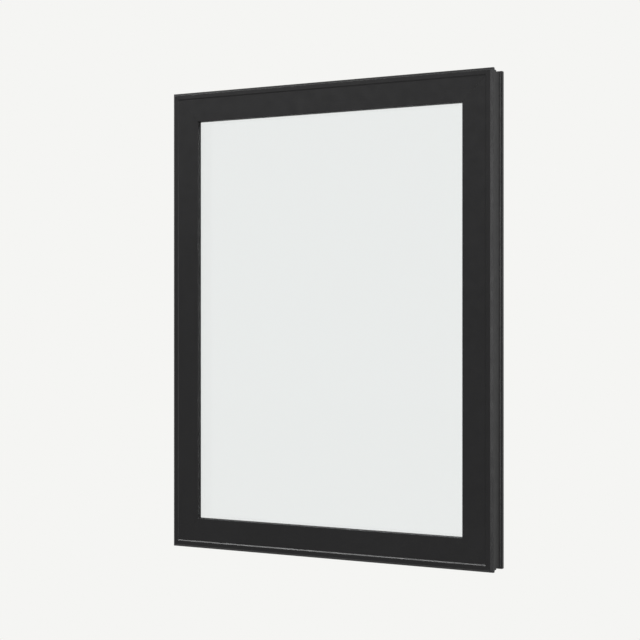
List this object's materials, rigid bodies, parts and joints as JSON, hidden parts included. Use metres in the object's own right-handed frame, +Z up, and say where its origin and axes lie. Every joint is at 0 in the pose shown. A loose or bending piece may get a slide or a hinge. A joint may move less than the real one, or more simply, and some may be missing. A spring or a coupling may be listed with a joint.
{
  "type": "fixed picture window",
  "caption": "Fixed window with a raised black rim, a broad recessed face, grooved outer sides and clear double glazing held by room-side beads.",
  "frame": {"origin": "middle of the frame's underside, in the plane of the room-side face", "axes": "+Z up, +X to the right seen from outside, +Y into the room, so the outside face looks along -Y"},
  "size_m": [0.9144, 0.0793, 1.2192],
  "materials": {
    "black_coat": "satin",
    "black_rubber": "matte",
    "spacer_metal": "satin",
    "clear_glass": "polished"
  },
  "bodies": {
    "root": {"frame_head": "black_coat", "frame_sill": "black_coat", "frame_left_jamb": "black_coat", "frame_right_jamb": "black_coat", "sash_top_rail": "black_coat", "sash_bottom_rail": "black_coat", "sash_left_stile": "black_coat", "sash_right_stile": "black_coat", "glazing_bead_top": "black_coat", "glazing_bead_bottom": "black_coat", "glazing_bead_left": "black_coat", "glazing_bead_right": "black_coat", "outer_gasket_top": "black_rubber", "outer_gasket_bottom": "black_rubber", "outer_gasket_left": "black_rubber", "outer_gasket_right": "black_rubber", "inner_gasket_top": "black_rubber", "inner_gasket_bottom": "black_rubber", "inner_gasket_left": "black_rubber", "inner_gasket_right": "black_rubber", "spacer_top": "spacer_metal", "spacer_bottom": "spacer_metal", "spacer_left": "spacer_metal", "spacer_right": "spacer_metal", "outer_pane": "clear_glass", "inner_pane": "clear_glass"}
  },
  "joints": []
}
